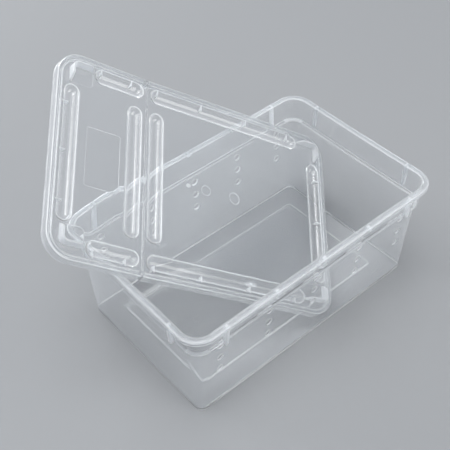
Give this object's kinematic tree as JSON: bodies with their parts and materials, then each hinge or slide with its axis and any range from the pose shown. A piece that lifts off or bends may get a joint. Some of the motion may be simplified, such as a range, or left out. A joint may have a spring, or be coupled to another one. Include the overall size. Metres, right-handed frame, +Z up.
{
  "type": "pet keeping box",
  "caption": "Clear rectangular keeping box with vent holes in both long walls and a flanged rim; its lift-off lid leans in it and has a flap on a living hinge.",
  "frame": {"origin": "centre of the box's base, on the surface it stands on", "axes": "+X along the box's long side, +Y along its short side, +Z up"},
  "size_m": [0.3674, 0.2773, 0.2514],
  "materials": {
    "clear_plastic": "clear, slightly milky polypropylene, glossy",
    "milky_clear_plastic": "clear, slightly milky polypropylene, glossy"
  },
  "bodies": {
    "tub": {"tub": "clear_plastic"},
    "lid": {"lid_main_panel": "milky_clear_plastic", "living_hinge": "milky_clear_plastic"},
    "flap": {"lid_flap": "milky_clear_plastic"}
  },
  "joints": [
    {"name": "lid_lift", "type": "slide", "parent": "tub", "child": "lid", "axis": [0, 0, 1], "range_m": [0, 0.13]},
    {"name": "flap_hinge", "type": "hinge", "parent": "lid", "child": "flap", "pos_m": [-0.07829, 0.06567, 0.16567], "axis": [0.6052, 0.7095, 0.3611], "range_deg": [-2.5, 112]}
  ]
}
